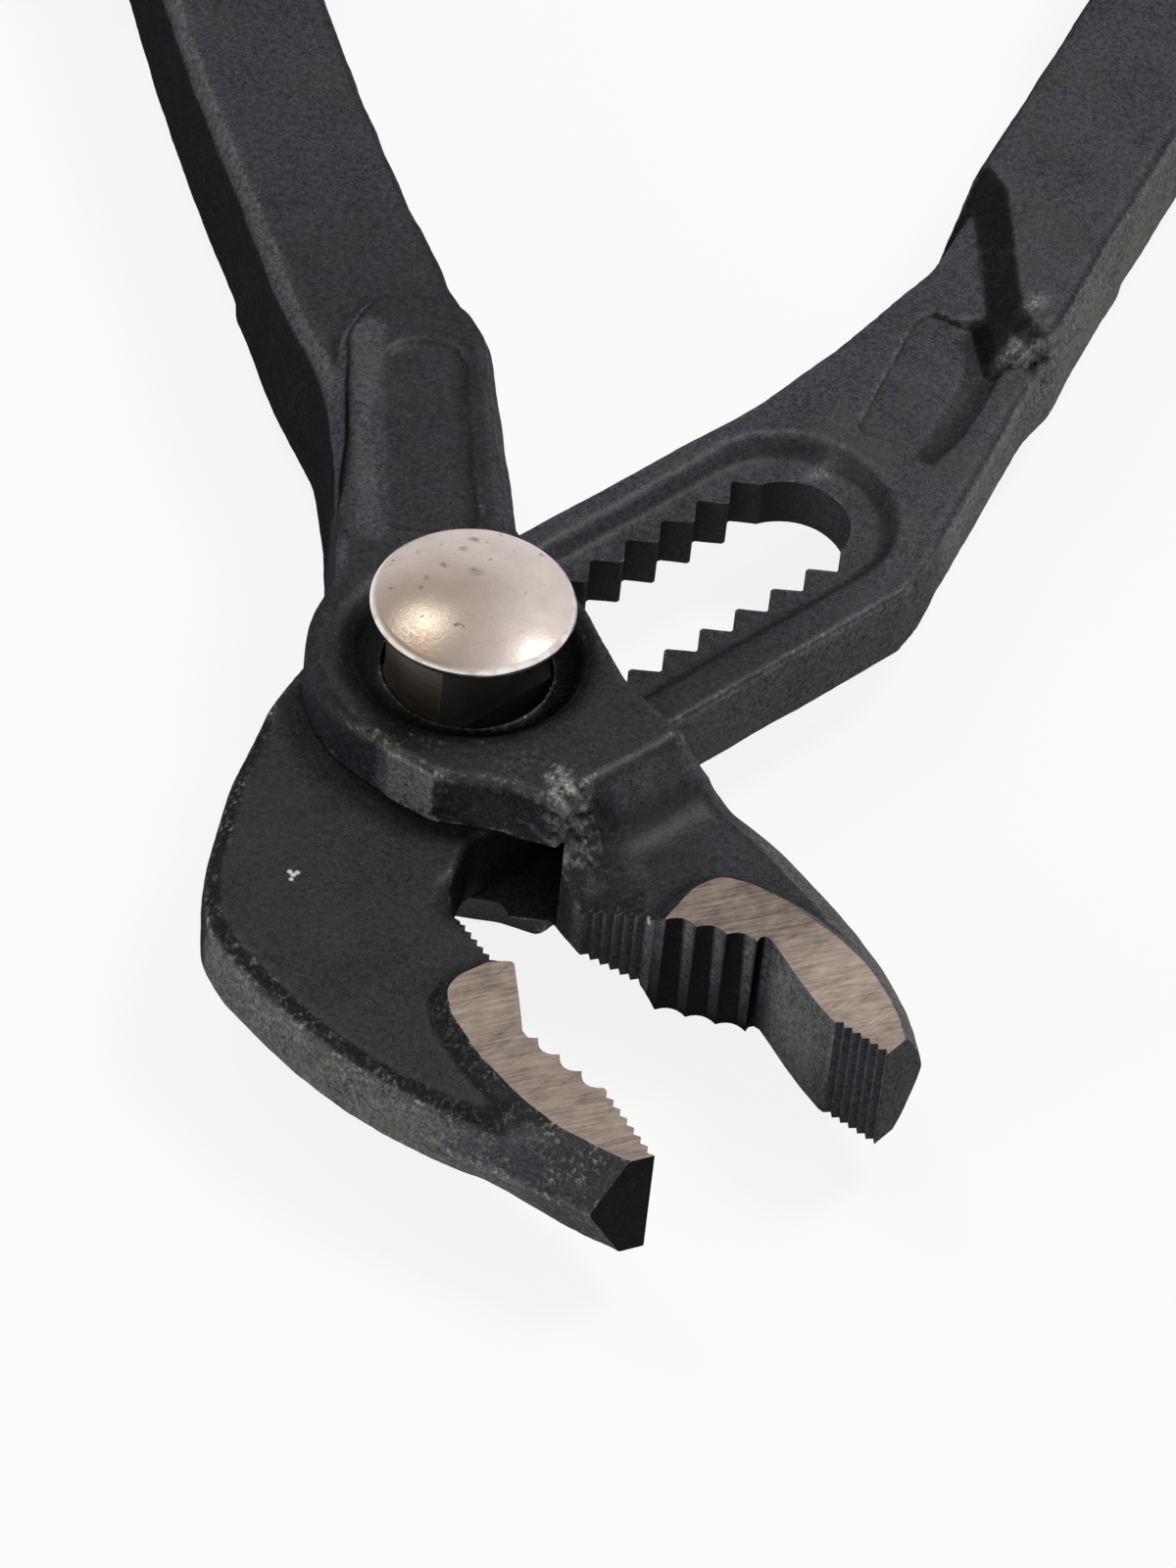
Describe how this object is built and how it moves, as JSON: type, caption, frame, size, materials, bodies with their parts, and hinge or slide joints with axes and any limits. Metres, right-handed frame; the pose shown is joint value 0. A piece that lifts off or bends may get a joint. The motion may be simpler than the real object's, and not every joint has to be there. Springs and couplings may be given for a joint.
{
  "type": "water pump pliers",
  "caption": "Box-joint water pump pliers: a slotted arm runs through the other arm and locks by a sprung push-button pin; curved serrated jaws, sleeved handles.",
  "frame": {"origin": "on the pivot axis, in the plane of the box joint's back face, on which the tool lies", "axes": "+Z along the pivot axis towards the button, +Y towards the handle ends, jaws towards -Y"},
  "size_m": [0.1418, 0.2488, 0.0253],
  "materials": {
    "black_oxide_steel": "black oxide forged steel, matt, with ground pads",
    "pin_steel": "turned, dark satin",
    "nickel": "nickel plated, satin",
    "spring_steel": "drawn wire",
    "grip_plastic": "dipped, matt"
  },
  "bodies": {
    "outer": {"outer_arm": "black_oxide_steel", "grip_outer": "grip_plastic", "spring_seat": "pin_steel", "snap_ring": "spring_steel"},
    "pivot": {"return_spring": "spring_steel"},
    "pin": {"toothed_pin": "pin_steel", "button_cap": "nickel"},
    "inner": {"inner_arm": "black_oxide_steel", "grip_inner": "grip_plastic"}
  },
  "joints": [
    {"name": "jaw_pivot", "type": "hinge", "parent": "outer", "child": "pivot", "pos_m": [0, 0, 0.0093], "axis": [0, 0, 1], "range_deg": [-15, 24]},
    {"name": "button_press", "type": "slide", "parent": "pivot", "child": "pin", "axis": [0, 0, 1], "range_m": [-0.0063, 0], "stiffness_N_per_m": 1200, "springref_m": 0.004, "deforming": ["return_spring"]},
    {"name": "jaw_setting", "type": "slide", "parent": "pivot", "child": "inner", "axis": [0.6972, 0.7169, 0], "range_m": [-0.0234, 0]}
  ]
}
